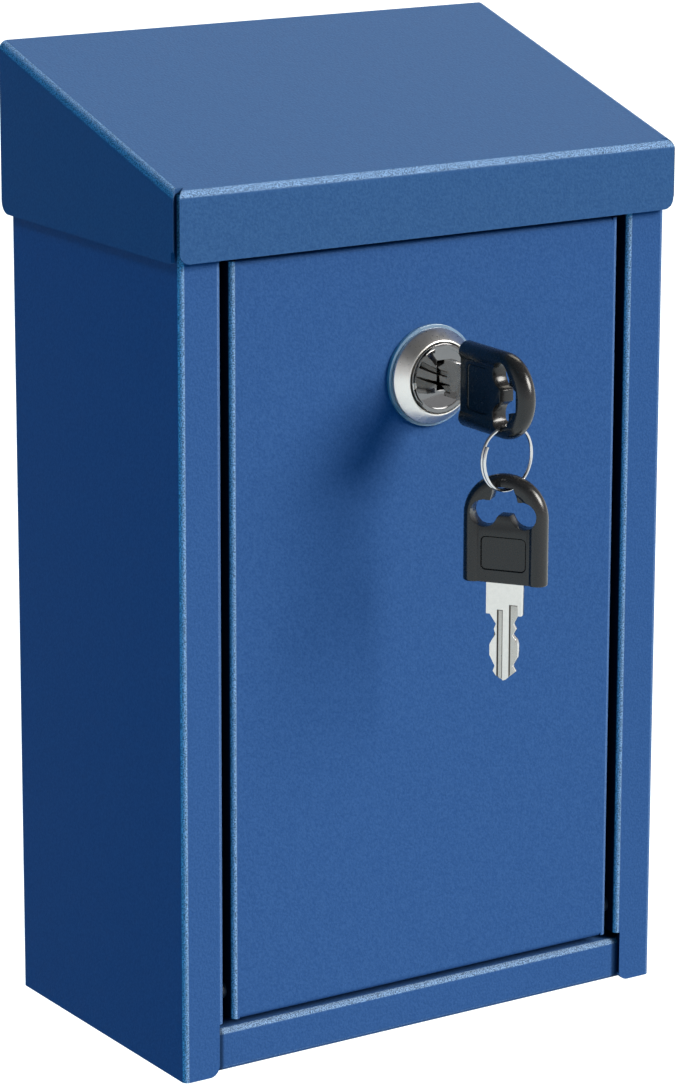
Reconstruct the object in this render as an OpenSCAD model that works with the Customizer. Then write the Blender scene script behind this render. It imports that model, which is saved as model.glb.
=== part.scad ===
// Small wall-mounted drop box: a folded sheet-steel shell, a sloping lift-up lid over a
// deposit slot, a drop-down front door on two rivets, and a cam lock with two keys.
//
// Frame: the origin is the centre of the four wall fixing holes, on the wall plane.
// +X is to the right seen from the front, +Y points into the wall, +Z is up.
// Most modules work in box coordinates: x, depth behind the front flanges, height above
// the shell's lower edges. place() moves them into the frame.

/* [Shell] */
// Width over the side walls
body_w = 130; // [118:1:150]
// Depth from the front flanges to the back panel
body_d = 75; // [70:1:90]
// Thickness of the steel sheet
sheet = 1.0; // [0.8:0.1:1.2]
// Inner radius of the folds
bend_r = 0.4; // [0.3:0.1:0.8]
// Width of the two front flanges beside the door
flange_w = 10.5; // [8:0.5:13]
// Depth of the return fold behind each front flange
return_d = 9.5; // [9:0.5:12]
// Radius of the flanges' lower inner corners
flange_corner_r = 2.5; // [1:0.5:4]

/* [Wall fixing] */
// Distance between the fixing holes across the back
wall_hole_span = 80; // [60:1:90]
// Distance between the upper and lower fixing holes
wall_hole_rise = 130; // [90:1:145]
// Height of the lower fixing holes above the shell's lower edges
wall_hole_low = 40; // [25:1:45]
// Radius of a fixing hole
wall_hole_r = 2.75; // [2:0.25:3.5]
// Height of the pressed bosses that hold the back off the wall
boss_h = 3.5; // [3.5:0.1:5]
// Radius of a boss at its flat face
boss_face_r = 6.5; // [5.5:0.5:9]
// Extra radius of a boss at its root
boss_flare = 2.5; // [1.5:0.5:4]

/* [Lid] */
// Height of the lid's lower edge above the shell's lower edges
lid_low = 186.5; // [182:0.5:200]
// Height of the lid's front skirt
lid_skirt = 15.5; // [14:0.5:20]
// Rise of the lid's top from the front fold to the rear edge
lid_rise = 24; // [20:0.5:28]
// Gap between the lid's side skirts and the side walls
lid_side_gap = 1.0; // [0.6:0.1:1.6]
// Gap between the lid's front skirt and the front flanges
lid_front_gap = 0.8; // [0.5:0.1:1.4]
// Overhang of the lid past the back panel
lid_back_over = 0.6; // [0:0.1:0.8]
// Inner radius of the lid's folds
lid_bend_r = 1.1; // [0.5:0.1:1.3]
// Radius of the lower corners at the back of the side skirts
lid_corner_r = 3; // [1:0.1:5]
// Radius of the lower corners of the front skirt
lid_front_r = 2.6; // [1:0.1:5]
// Radius of the lower corners at the front of the side skirts
lid_end_r = 2; // [1:0.1:5]
// Open corners: from the front skirt's ends to the side skirts' outer faces
lid_end_gap = 1; // [0.5:0.05:1.1]
// Open corners: from the side skirts' front edges to the front skirt's outer face
lid_corner_gap = 1.1; // [0.5:0.05:1.2]
// Gap between the closed lid and the top edges of the side walls
lid_rest_gap = 0.4; // [0.3:0.1:0.6]
// Opening angle at which the lid's rear edge meets the back panel
lid_swing = 82; // [70:1:85]

/* [Lid hinge] */
// Radius of the hinge rod
rod_r = 1.25; // [1:0.05:1.35]
// Distance from the rod's axis to the underside of the lid's top
rod_cover = 3.0; // [2.8:0.1:3.4]
// Distance from the rod's axis to the outer face of the back panel
rod_inset = 5; // [4.8:0.1:7]
// Amount by which each end of the rod stands out of the side wall
rod_end = 0.4; // [0.1:0.1:0.5]
// Thickness of the two ears under the lid
ear_t = 1.5; // [1:0.25:2.5]
// Radius of the ears round the rod
ear_r = 2.9; // [2.6:0.1:3]
// Half the length of each ear's welded foot along the lid
ear_foot = 3.2; // [3.1:0.1:3.4]
// Gap between an ear and the side wall
ear_gap = 0.4; // [0.3:0.1:1.5]

/* [Bottom pan] */
// Height of the front rail above the pan's underside
rail_h = 10; // [8:0.5:10.5]
// Depth of the rail's folded top
rail_return = 6; // [4:0.5:6.5]
// Height of the pan's underside above the shell's lower edges
pan_up = 0.4; // [0.2:0.1:0.6]
// Height of the pan's side and rear lips
pan_lip = 9; // [6:0.5:10]
// Radius of the weep holes
weep_r = 2.5; // [1.5:0.5:3]
// Distance from the weep holes to the side walls
weep_inset = 22; // [15:1:30]
// Distance from the weep holes to the middle of the floor, front and rear
weep_pitch = 20; // [12:1:24]

/* [Slot plate] */
// Distance from the top of the slot plate down to the lid's front fold
slot_plate_drop = 6; // [5:0.5:7]
// Width of the deposit slot
slot_w = 96; // [70:1:96]
// Depth of the deposit slot
slot_d = 24; // [16:1:26]
// Distance from the front flanges to the deposit slot
slot_front = 27; // [26:0.5:32]
// Corner radius of the deposit slot
slot_corner_r = 4; // [2:0.5:8]
// Height of the plate's side and rear lips
slot_lip = 9; // [5:0.5:10]
// Width of the catch plate that the cam locks behind
catch_w = 28; // [20:1:40]
// Length of the catch plate's welded foot
catch_foot = 11; // [8:0.5:12]
// Distance from the door's top edge down to the catch plate's lower edge
catch_drop = 2.8; // [2:0.1:4]
// Gap between the catch plate and the cam behind it
catch_gap = 0.7; // [0.5:0.1:1.2]

/* [Door] */
// Gap between the door and each front flange
door_gap = 2.4; // [2:0.1:3.5]
// Distance from the flanges' front face back to the door's face
door_inset = 0.3; // [0:0.1:0.6]
// Gap between the front rail and the door's lower edge
door_low_gap = 1.8; // [1.5:0.1:3]
// Gap between the door's top edge and the lid's lower edge
door_top_gap = 0.7; // [0.5:0.1:1.5]
// Gap between the door's top edge and the slot plate's front lip
door_head_gap = 1.0; // [0.8:0.1:1.5]
// Depth of the door's return folds
door_return = 8; // [8:0.5:10]
// Slit between neighbouring return folds at the door's corners
door_relief = 0.3; // [0.2:0.1:0.8]

/* [Door hinge] */
// Distance from the door's lower edge up to the hinge axis
hinge_up = 6.3; // [6:0.1:8]
// Distance from the flanges' front face back to the hinge axis
hinge_in = 5; // [4.6:0.1:5.4]
// Radius of the hinge rivets
rivet_r = 1.5; // [1:0.1:1.8]
// Radius of the rivets' heads
rivet_head_r = 2.8; // [2.4:0.1:3.2]
// Thickness of the rivets' heads
rivet_head_t = 1.0; // [0.6:0.1:1.4]
// Outer radius of the nylon spacers on the rivets
spacer_r = 2.1; // [1.9:0.1:3]

/* [Lock] */
// Distance from the door's top edge down to the lock's axis
lock_drop = 31; // [29:0.5:40]
// Distance by which the clear washer reaches past the bezel
gasket_lip = 0.75; // [0.55:0.05:2.15]
// Thickness of the clear washer
gasket_t = 1; // [0.4:0.1:1.2]
// Distance by which the bezel reaches past the barrel
bezel_lip = 1.45; // [1:0.05:2]
// Radius of the bezel at its front rim
bezel_rim_r = 8.5; // [8.4:0.1:9]
// Height of the bezel
bezel_h = 3.6; // [3.2:0.1:4.6]
// Thickness of the bezel's straight edge
bezel_edge = 0.7; // [0.6:0.1:1.4]
// Radius of the threaded barrel
barrel_r = 9.4; // [9:0.1:9.8]
// Width across the barrel's two flats
barrel_flats = 16; // [15.4:0.1:17]
// Length of the barrel behind the door's face
barrel_l = 16.7; // [16:0.1:20]
// Radius of the plug inside the barrel
plug_r = 6.4; // [6:0.1:6.8]
// Radius of the plug's head
plug_head_r = 7.85; // [7.6:0.05:8]
// Width of the groove between the plug's head and the bezel
plug_groove = 0.35; // [0.2:0.05:0.4]
// Distance by which the plug's rim stands out of the bezel
plug_proud = 0.25; // [0:0.05:0.4]
// Thickness of the plug's head
plug_head_t = 2.6; // [2.2:0.1:3]
// Width of the raised rim round the plug's head
plug_rim_w = 1; // [0.6:0.1:1.2]
// Depth of the dish inside the rim
plug_dish = 0.3; // [0.2:0.1:0.6]
// Width across the plug's square tail
tail_w = 6; // [5:0.1:7]
// Wall of the lock nut beside the barrel's thread, at its flats
nut_wall = 1.6; // [1:0.1:2.6]
// Thickness of the lock nut
nut_t = 4; // [3:0.5:6]
// Thickness of the toothed washer
tooth_washer_t = 0.8; // [0.5:0.1:1.2]
// Number of teeth on the toothed washer
tooth_n = 16; // [8:1:20]
// Number of wafers in the plug
wafer_n = 5; // [3:1:5]
// Distance between wafers
wafer_pitch = 2.3; // [2.1:0.1:2.5]
// Thickness of a wafer
wafer_t = 0.7; // [0.5:0.1:0.9]
// Width of a wafer
wafer_w = 7.2; // [6.6:0.1:7.8]

/* [Cam] */
// Overlap of the cam's tip with the catch plate when locked
cam_overlap = 6.8; // [4:0.1:8]
// Thickness of the cam
cam_t = 2; // [1.5:0.1:2.5]
// Radius of the cam round its square hole
cam_hub_r = 7.5; // [6.5:0.5:8.5]
// Radius of the cam's tip
cam_tip_r = 5; // [4:0.5:6]
// Thickness of the stop washer
stop_t = 1; // [0.8:0.1:1.5]
// Turn of the key from open to locked
key_turn = 90; // [90:1:90]
// Radius of the cam screw's head
screw_head_r = 4.6; // [4.2:0.1:6]
// Height of the cam screw's head
screw_head_h = 2.2; // [1.5:0.1:3]
// Radius of the cam screw's shank
screw_r = 1.5; // [1:0.1:2]
// Length of the cam screw's shank inside the tail
screw_l = 5; // [4:0.5:6]

/* [Keys] */
// Width of a key's moulded head
head_w = 19.4; // [18.6:0.1:21]
// Length of a key's moulded head
head_l = 24.6; // [23.6:0.2:27]
// Thickness of the flat web of the head
head_web = 3.6; // [3:0.1:4.4]
// Radius of the rounded bead round the head's edge
head_bead_r = 2.3; // [2:0.1:2.6]
// Distance from the head's base to the middle of the two round lobes of its hole
lobe_v = 15.7; // [14.5:0.1:16]
// Distance from the head's centre line to the middle of each lobe
lobe_u = 4.6; // [4:0.1:4.8]
// Radius of the lobes
lobe_r = 3.05; // [2.6:0.05:3.1]
// Distance from the head's base to the flat top of the hole
crown_v = 21.9; // [21:0.1:22]
// Width of the flat top of the hole
crown_w = 4.6; // [4:0.1:5]
// Extra width of the hole at the foot of its flat-topped part, on each side
crown_flare = 0.9; // [0.4:0.1:1.2]
// Distance from the head's base to the tip of the tongue between the lobes
tongue_v = 15.4; // [14.5:0.1:16]
// Width of the tongue at its tip
tongue_w = 2.5; // [1.5:0.1:3]
// Width of the sunk panel on each face of the head
panel_w = 10.5; // [9:0.1:12]
// Height of the sunk panel
panel_h = 7.7; // [5:0.1:8.4]
// Distance from the head's base to the sunk panel
panel_v = 2.9; // [2:0.1:3.5]
// Corner radius of the sunk panel
panel_r = 1.2; // [0.5:0.1:2]
// Depth of the sunk panel
panel_dip = 0.25; // [0.1:0.05:0.5]
// Width of the blade's shoulder
shoulder_w = 8.2; // [7.8:0.1:8.8]
// Length of the blade's shoulder outside the head
shoulder_l = 7.2; // [6:0.1:8]
// Width of the blade's cut part
blade_w = 6.4; // [6:0.1:6.8]
// Length of the blade's cut part
blade_l = 15; // [14.4:0.1:15.4]
// Thickness of the blade
blade_t = 2; // [1.6:0.1:2.2]
// Length of the tang moulded into the head
tang_l = 9; // [6:0.5:10]
// Distance from the shoulder's end to the first cut
cut_first = 2.2; // [1.8:0.1:2.6]
// Distance from one step of the cut edges to the next
cut_pitch = 1.2; // [1.1:0.1:1.2]
// Depth of each step along one edge of the blade, starting at the shoulder
cuts_a = [1.45, 0.95, 1.4, 0.6, 0, 0, 0, 0.6, 1.25, 0.8];
// Depth of each step along the other edge of the blade, starting at the shoulder
cuts_b = [1.15, 0.6, 1.25, 0.3, 0, 0, 0, 0.6, 1.25, 0.6];
// Depth of the grooves along the blade's faces
groove_dip = 0.45; // [0.2:0.05:0.6]
// Width of the narrow groove
groove_w = 1.3; // [0.6:0.1:1.4]
// Distance from the blade's centre line to the narrow groove
groove_off = 0.2; // [0:0.1:0.4]
// Distance from the blade's centre line to the wide groove
groove_step = 1.3; // [1.2:0.1:1.8]
// Height of the keyway's centre above the plug's axis
key_up = 0.7; // [0:0.1:0.8]
// Distance from the key's shoulder to the plug as the key stands in the lock
key_out = 2.55; // [0.15:0.05:3]
// Angle from the door's plane to the spare key's plane
spare_turn = 53.6; // [45:0.1:60]

/* [Key ring] */
// Radius of the ring's wire path
ring_r = 7.25; // [7:0.05:9]
// Width of the ring's wire, measured outwards from the centre
wire_w = 0.8; // [0.7:0.05:1]
// Thickness of the ring's wire, measured along the ring's axis
wire_t = 0.75; // [0.6:0.05:0.8]
// Gap between the ring's two turns
wire_gap = 0.05; // [0.04:0.01:0.1]
// Angle from the door's plane to the ring's plane
ring_turn = 10; // [0:1:15]
// Angle of the wire's first end, anticlockwise from the right
ring_start = 152; // [140:1:185]
// Angle over which the ring's wire lies double
ring_lap = 140; // [90:5:290]

/* [Clearances] */
// Clearance round parts that are welded, clamped or moulded together
seat_fit = 0.05; // [0.02:0.01:0.08]
// Radial clearance of pins, rods and the plug where they turn
run_fit = 0.06; // [0.03:0.01:0.09]
// End clearance of pieces that turn against each other
end_fit = 0.15; // [0.1:0.05:0.2]
// Clearance of the blade in the keyway and of the wafers in the plug
key_fit = 0.2; // [0.15:0.05:0.25]
// Gap between the ring's wire and the keys that hang on it
hang_fit = 0.1; // [0.08:0.01:0.2]

/* [Hidden] */

// Number of sides on turned surfaces
$fn = 64;
// Amount by which a cutter runs past what it cuts
past = 1;

// Frame: where the box coordinates start
front_y = -(boss_h + body_d);
foot_z = -(wall_hole_low + wall_hole_rise / 2);

// Outer radii of the folds
fold_r = bend_r + sheet;
lid_fold_r = lid_bend_r + sheet;

// Lid: its outline and slope in box coordinates
lid_front = lid_front_gap + sheet;
lid_half_w = body_w / 2 + lid_side_gap + sheet;
lid_back = body_d + lid_back_over;
lid_slope = atan(lid_rise / (lid_back + lid_front));
lid_fold_h = lid_low + lid_skirt;
function lid_top(d) = lid_fold_h + (d + lid_front) * tan(lid_slope);
function lid_under(d) = lid_top(d) - sheet / cos(lid_slope);
function wall_top(d) = lid_under(d) - lid_rest_gap / cos(lid_slope);

// Lid hinge: the rod's axis, and the round tops of the side walls that carry it
rod_d = body_d - rod_inset;
rod_h = lid_under(rod_d) - rod_cover / cos(lid_slope);
wall_ear_r = rod_cover - lid_rest_gap;
// Direction square to the lid's top after it has opened by the angle a
function lid_normal(a) = [cos(90 + lid_slope - a), sin(90 + lid_slope - a)];
// The back panel stops where the opened lid's underside just clears it
back_top = rod_h + (wall_ear_r - rod_inset * lid_normal(lid_swing)[0]) / lid_normal(lid_swing)[1];

// Opening between the front flanges, and the door in it
opening_half_w = body_w / 2 - flange_w;
door_half_w = opening_half_w - door_gap;
rail_top = pan_up + rail_h;
door_low = rail_top + door_low_gap;
door_top = lid_low - door_top_gap;
hinge_h = door_low + hinge_up;
return_low = rail_top + door_low_gap;
return_top = door_top + door_head_gap / 4;

// Slot plate
slot_plate_top = lid_fold_h - slot_plate_drop;
slot_plate_low = door_top + door_head_gap;
liner_half_w = body_w / 2 - sheet - seat_fit;
liner_back = body_d - sheet - seat_fit;
slot_mid = slot_front + slot_d / 2;

// Lock: depths are measured from the door's face, positive towards the back
lock_h = door_top - lock_drop;
bezel_back = -gasket_t;
bezel_front = bezel_back - bezel_h;
bezel_r = barrel_r + bezel_lip;
gasket_r = bezel_r + gasket_lip;
plug_front = bezel_front - plug_proud;
plug_neck = plug_front + plug_head_t;
dish_floor = plug_front + plug_dish;
bore_r = plug_r + run_fit;
nut_af = 2 * (barrel_r + nut_wall);
stop_front = barrel_l + end_fit;
cam_front = stop_front + stop_t;
cam_back = cam_front + cam_t;
tail_end = cam_back - end_fit;
cam_l = lock_drop - catch_drop + cam_overlap;
keyway_end = dish_floor + blade_l + 1;
wafer_lead = 2.6;
wafer_first = plug_neck + wafer_lead;
// Stop: the washer's lug runs in a quarter cut out of the barrel's end
lug_half_a = 14;
lug_l = 1.6;
lug_play_a = 3;
lug_in_r = plug_r + 0.8;

// Catch plate: its tongue stands just in front of the cam
catch_back = door_inset + cam_front - catch_gap;

// Keys: u runs across a key, v from the head's base towards its arch, w through it
arch_r = head_w / 2;
arch_v = head_l - arch_r;
hole_low_u = lobe_u + lobe_r;
key_base = dish_floor - key_out - shoulder_l;
tip_w = 1.2;
tip_l = 0.4;

// Ring: how far its wire stays from the middle of a hole's edge, because the ring is
// round and passes through the thickness of the head at an angle
half_pack = wire_t + wire_gap / 2;
function sagitta(r, c) = r - sqrt(r * r - c * c);
function hang_gap(hole_r, angle) =
  sagitta(ring_r, head_bead_r / cos(angle))
  + sagitta(hole_r, head_bead_r * tan(angle) + half_pack / cos(angle))
  + hang_fit;
ring_in_r = ring_r - wire_w / 2;
ring_d = door_inset + key_base - lobe_v;
ring_h = lock_h + key_up - hole_low_u + hang_gap(lobe_r, ring_turn) - ring_in_r;
// The spare key hangs from the flat top of its hole
spare_gap = sagitta(ring_r, head_bead_r / sin(spare_turn + ring_turn)) + hang_fit;
spare_h = ring_h - ring_in_r + spare_gap - crown_v;

module place() {
  translate([0, front_y, foot_z]) children();
}

// A rectangle between two corners
module bar(x0, y0, x1, y1) {
  translate([min(x0, x1), min(y0, y1)]) square([abs(x1 - x0), abs(y1 - y0)]);
}

// The section of a fold: a quarter ring in the quadrant (sx, sy) round a point
module fold(x, y, sx, sy, r = fold_r) {
  translate([x, y]) intersection() {
    difference() {
      circle(r = r);
      circle(r = r - sheet);
    }
    bar(0, 0, sx * (r + past), sy * (r + past));
  }
}

// Extrude a section drawn as (depth, height) across the box, centred on x = 0
module across(w) {
  translate([-w / 2, 0, 0]) rotate([90, 0, 90]) linear_extrude(w) children();
}

// Extrude a section drawn as (x, height) from the depth d0 to the depth d1
module along(d0, d1) {
  translate([0, d1, 0]) rotate([90, 0, 0]) linear_extrude(d1 - d0) children();
}

// Both the shape and its mirror image about the middle of the box
module both_sides() {
  children();
  mirror([1, 0, 0]) children();
}

// Square corner minus a round one, to round off the corner of a plate
module corner_cut(r) {
  difference() {
    translate([-past, -past]) square(r + past);
    translate([r, r]) circle(r = r);
  }
}

// Move to the lock's axis, at a depth s from the door's face: +Z now points inwards
module at_lock(s = 0) {
  translate([0, door_inset + s, lock_h]) rotate([-90, 0, 0]) children();
}

// ---------- Shell ----------

module shell_walls_plan() {
  bar(-(body_w / 2 - fold_r), body_d - sheet, body_w / 2 - fold_r, body_d);
  both_sides() {
    fold(body_w / 2 - fold_r, body_d - fold_r, 1, 1);
    bar(body_w / 2 - sheet, fold_r, body_w / 2, body_d - fold_r);
    fold(body_w / 2 - fold_r, fold_r, 1, -1);
    bar(opening_half_w + fold_r, 0, body_w / 2 - fold_r, sheet);
  }
}

module shell_return_plan() {
  both_sides() {
    fold(opening_half_w + fold_r, fold_r, -1, -1);
    bar(opening_half_w, fold_r, opening_half_w + sheet, return_d);
  }
}

// Everything above the sloping tops of the side walls
module shell_top_cut() {
  across(body_w + 2 * past) polygon(concat(
    [[-past, wall_top(-past)]],
    [for (a = [0 : lid_swing / 8 : lid_swing]) [rod_d, rod_h] + wall_ear_r * lid_normal(a)],
    [[body_d, back_top], [body_d + past, back_top], [body_d + past, 2 * lid_top(body_d)],
     [-past, 2 * lid_top(body_d)]]
  ));
}

module wall_boss(extra, depth) {
  rotate([-90, 0, 0]) cylinder(h = depth, r1 = boss_face_r + boss_flare - extra, r2 = boss_face_r - extra);
}

module at_wall_holes() {
  for (x = [-wall_hole_span / 2, wall_hole_span / 2]) {
    for (h = [wall_hole_low, wall_hole_low + wall_hole_rise]) {
      translate([x, body_d, h]) children();
    }
  }
}

module body_shell() {
  color([0.14, 0.27, 0.48]) place() difference() {
    union() {
      linear_extrude(lid_top(body_d)) shell_walls_plan();
      translate([0, 0, return_low]) linear_extrude(return_top - return_low) shell_return_plan();
      at_wall_holes() wall_boss(0, boss_h);
    }
    shell_top_cut();
    translate([-(body_w / 2 - fold_r), body_d - 2 * sheet, back_top]) cube([body_w - 2 * fold_r, 3 * sheet, lid_rise]);
    at_wall_holes() translate([0, -sheet, 0]) wall_boss(0.4 * sheet, boss_h);
    at_wall_holes() rotate([90, 0, 0]) cylinder(h = 4 * boss_h, r = wall_hole_r, center = true);
    translate([0, rod_d, rod_h]) rotate([0, 90, 0])
      cylinder(h = body_w + 2 * past, r = rod_r + seat_fit, center = true);
    translate([0, hinge_in, hinge_h]) rotate([0, 90, 0])
      cylinder(h = 2 * (opening_half_w + 2 * sheet), r = rivet_r + seat_fit, center = true);
    both_sides() along(-past, sheet + past) translate([opening_half_w + fold_r, 0]) corner_cut(flange_corner_r);
  }
}

// ---------- Bottom pan ----------

module pan_section() {
  bar(sheet + fold_r, pan_up, liner_back - fold_r, pan_up + sheet);
  fold(sheet + fold_r, pan_up + fold_r, -1, -1);
  bar(sheet, pan_up + fold_r, 2 * sheet, rail_top - fold_r);
  fold(sheet + fold_r, rail_top - fold_r, -1, 1);
  bar(sheet + fold_r, rail_top - sheet, sheet + rail_return, rail_top);
  fold(liner_back - fold_r, pan_up + fold_r, 1, -1);
  bar(liner_back - sheet, pan_up + fold_r, liner_back, pan_up + pan_lip);
}

module pan_side_section() {
  both_sides() {
    bar(0, pan_up, liner_half_w - fold_r, pan_up + sheet);
    fold(liner_half_w - fold_r, pan_up + fold_r, 1, -1);
    bar(liner_half_w - sheet, pan_up + fold_r, liner_half_w, pan_up + pan_lip);
  }
}

module bottom_pan() {
  color([0.14, 0.27, 0.48]) place() difference() {
    union() {
      across(2 * (liner_half_w - fold_r)) pan_section();
      along(sheet + fold_r + door_relief, liner_back - fold_r - door_relief) pan_side_section();
    }
    for (x = [-1, 1], y = [-1, 1]) {
      translate([x * (body_w / 2 - weep_inset), body_d / 2 + y * weep_pitch, pan_up - past])
        cylinder(h = sheet + 2 * past, r = weep_r);
    }
  }
}

// ---------- Slot plate and catch ----------

module slot_plate_section() {
  bar(sheet, slot_plate_low, 2 * sheet, slot_plate_top - fold_r);
  fold(sheet + fold_r, slot_plate_top - fold_r, -1, 1);
  bar(sheet + fold_r, slot_plate_top - sheet, liner_back - fold_r, slot_plate_top);
  fold(liner_back - fold_r, slot_plate_top - fold_r, 1, 1);
  bar(liner_back - sheet, slot_plate_top - slot_lip, liner_back, slot_plate_top - fold_r);
}

module slot_plate_side_section() {
  both_sides() {
    bar(0, slot_plate_top - sheet, liner_half_w - fold_r, slot_plate_top);
    fold(liner_half_w - fold_r, slot_plate_top - fold_r, 1, 1);
    bar(liner_half_w - sheet, slot_plate_top - slot_lip, liner_half_w, slot_plate_top - fold_r);
  }
}

module slot_outline() {
  bar(-slot_w / 2 + slot_corner_r, -slot_d / 2, slot_w / 2 - slot_corner_r, slot_d / 2);
  bar(-slot_w / 2, -slot_d / 2 + slot_corner_r, slot_w / 2, slot_d / 2 - slot_corner_r);
  for (x = [-1, 1], y = [-1, 1]) {
    translate([x * (slot_w / 2 - slot_corner_r), y * (slot_d / 2 - slot_corner_r)]) circle(r = slot_corner_r);
  }
}

module slot_plate() {
  color([0.14, 0.27, 0.48]) place() difference() {
    union() {
      across(2 * (liner_half_w - fold_r)) slot_plate_section();
      along(sheet + fold_r + door_relief, liner_back - fold_r - door_relief) slot_plate_side_section();
    }
    translate([0, slot_mid, slot_plate_top - sheet - past]) linear_extrude(sheet + 2 * past) slot_outline();
  }
}

module catch_plate() {
  foot_top = slot_plate_top - sheet;
  color([0.14, 0.27, 0.48]) place() across(catch_w) {
    bar(catch_back - catch_foot, foot_top - sheet, catch_back - fold_r, foot_top);
    fold(catch_back - fold_r, foot_top - fold_r, 1, 1);
    bar(catch_back - sheet, door_top - catch_drop, catch_back, foot_top - fold_r);
  }
}

// ---------- Lid ----------

// The centre of the front fold, level with the folds along the sides
lid_fold_mid = [-lid_front + lid_fold_r, lid_top(-lid_front + lid_fold_r) - lid_fold_r / cos(lid_slope)];

// Top, folds and skirts along the sides: a section square to the slope
module lid_cross() {
  edge_x = lid_half_w - lid_fold_r;
  bar(-edge_x, lid_bend_r, edge_x, lid_fold_r);
  both_sides() {
    fold(edge_x, 0, 1, 1, lid_fold_r);
    bar(lid_half_w - sheet, -2 * (lid_rise + lid_skirt), lid_half_w, 0);
  }
}

// Front skirt, front fold and the strip that joins them to the top: a section across the lid
module lid_front_section() {
  difference() {
    union() {
      bar(-lid_front, lid_low, lid_fold_mid[0], lid_fold_mid[1]);
      translate(lid_fold_mid) circle(r = lid_fold_r);
      translate(lid_fold_mid) rotate(lid_slope) bar(0, 0, 2 * lid_fold_r, lid_fold_r);
    }
    bar(-lid_front + sheet, lid_low - past, lid_fold_mid[0] + past, lid_fold_mid[1]);
    translate(lid_fold_mid) circle(r = lid_bend_r);
    translate(lid_fold_mid) rotate(lid_slope) bar(0, -2 * lid_fold_r, 3 * lid_fold_r, lid_bend_r);
  }
}

// The same in plan, with mitred ends
module lid_front_plan() {
  end_x = lid_half_w - lid_end_gap;
  reach = lid_fold_r + past;
  polygon([
    [-end_x - past, -lid_front - past],
    [end_x + past, -lid_front - past],
    [end_x - reach, -lid_front + reach],
    [end_x - reach, 3 * lid_fold_r],
    [-end_x + reach, 3 * lid_fold_r],
    [-end_x + reach, -lid_front + reach]
  ]);
}

// Plan of what is cut from the top and the sides in front of their mitred edges
module lid_corner_plan() {
  side_d = -lid_front + lid_corner_gap;
  reach = sheet + lid_end_gap / 3;
  polygon([
    [0, -2 * body_d],
    [0, side_d + reach],
    [lid_half_w - reach, side_d + reach],
    [lid_half_w + past, side_d - past],
    [lid_half_w + past, -2 * body_d]
  ]);
}

module lid_cover() {
  run = 2 * body_d;
  tall = 4 * (lid_rise + lid_skirt);
  color([0.16, 0.30, 0.52]) place() difference() {
    union() {
      // The top, its side folds and its side skirts
      difference() {
        translate([0, lid_fold_mid[0], lid_fold_mid[1]]) rotate([lid_slope, 0, 0])
          translate([0, run, 0]) rotate([90, 0, 0]) linear_extrude(run + lid_skirt) lid_cross();
        across(2 * lid_half_w + 2 * past) {
          bar(lid_back, lid_low - run, lid_back + 2 * run, lid_low + run);
          bar(-run, lid_low - run, lid_back + past, lid_low);
          translate([-lid_front + lid_corner_gap, lid_low]) corner_cut(lid_end_r);
          translate([lid_back, lid_low]) mirror([1, 0]) corner_cut(lid_corner_r);
        }
        both_sides() translate([0, 0, lid_low - past]) linear_extrude(tall) lid_corner_plan();
      }
      // The front skirt and fold
      intersection() {
        across(2 * lid_half_w) lid_front_section();
        translate([0, 0, lid_low - past]) linear_extrude(tall) lid_front_plan();
      }
    }
    // Rounded lower corners of the front skirt
    both_sides() along(-lid_front - past, -lid_front + sheet + past)
      translate([-lid_half_w + lid_end_gap, lid_low]) corner_cut(lid_front_r);
  }
}

module lid_ear(side) {
  out = body_w / 2 - sheet - ear_gap;
  x0 = side > 0 ? out - ear_t : -out;
  color([0.14, 0.27, 0.48]) place() difference() {
    translate([x0, 0, 0]) rotate([90, 0, 90]) linear_extrude(ear_t) translate([rod_d, rod_h]) rotate(lid_slope) {
      circle(r = ear_r);
      bar(-ear_foot, 0, ear_foot, rod_cover);
    }
    translate([0, rod_d, rod_h]) rotate([0, 90, 0])
      cylinder(h = body_w + 2 * past, r = rod_r + run_fit, center = true);
  }
}

module lid_hinge_rod() {
  color([0.75, 0.75, 0.76]) place() translate([0, rod_d, rod_h]) rotate([0, 90, 0])
    cylinder(h = body_w + 2 * rod_end, r = rod_r, center = true);
}

// ---------- Door ----------

module door_side_plan() {
  bar(-(door_half_w - fold_r), door_inset, door_half_w - fold_r, door_inset + sheet);
  both_sides() {
    fold(door_half_w - fold_r, door_inset + fold_r, 1, -1);
    bar(door_half_w - sheet, door_inset + fold_r, door_half_w, door_inset + door_return);
  }
}

module door_end_section() {
  bar(door_inset, door_low + fold_r, door_inset + sheet, door_top - fold_r);
  fold(door_inset + fold_r, door_low + fold_r, -1, -1);
  bar(door_inset + fold_r, door_low, door_inset + door_return, door_low + sheet);
  fold(door_inset + fold_r, door_top - fold_r, -1, 1);
  bar(door_inset + fold_r, door_top - sheet, door_inset + door_return, door_top);
}

// Round bar cut to two flats, with a clearance all round
module double_d(h, fit) {
  intersection() {
    cylinder(h = h, r = barrel_r + fit);
    translate([-barrel_flats / 2 - fit, -2 * barrel_r, 0]) cube([barrel_flats + 2 * fit, 4 * barrel_r, h]);
  }
}

module door_panel() {
  slit = fold_r + door_relief;
  color([0.17, 0.32, 0.55]) place() difference() {
    union() {
      // The side folds run past the end folds, down to a slit's width from the door's ends
      difference() {
        translate([0, 0, door_low + door_relief]) linear_extrude(door_top - door_low - 2 * door_relief) door_side_plan();
        across(2 * (door_half_w - slit)) for (h = [door_low, door_top - slit]) bar(0, h, door_return, h + slit);
      }
      across(2 * (door_half_w - slit)) door_end_section();
    }
    at_lock(-past) double_d(sheet + 2 * past, seat_fit);
    translate([0, hinge_in, hinge_h]) rotate([0, 90, 0])
      cylinder(h = body_w, r = rivet_r + run_fit, center = true);
  }
}

// ---------- Door hinge ----------

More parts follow.
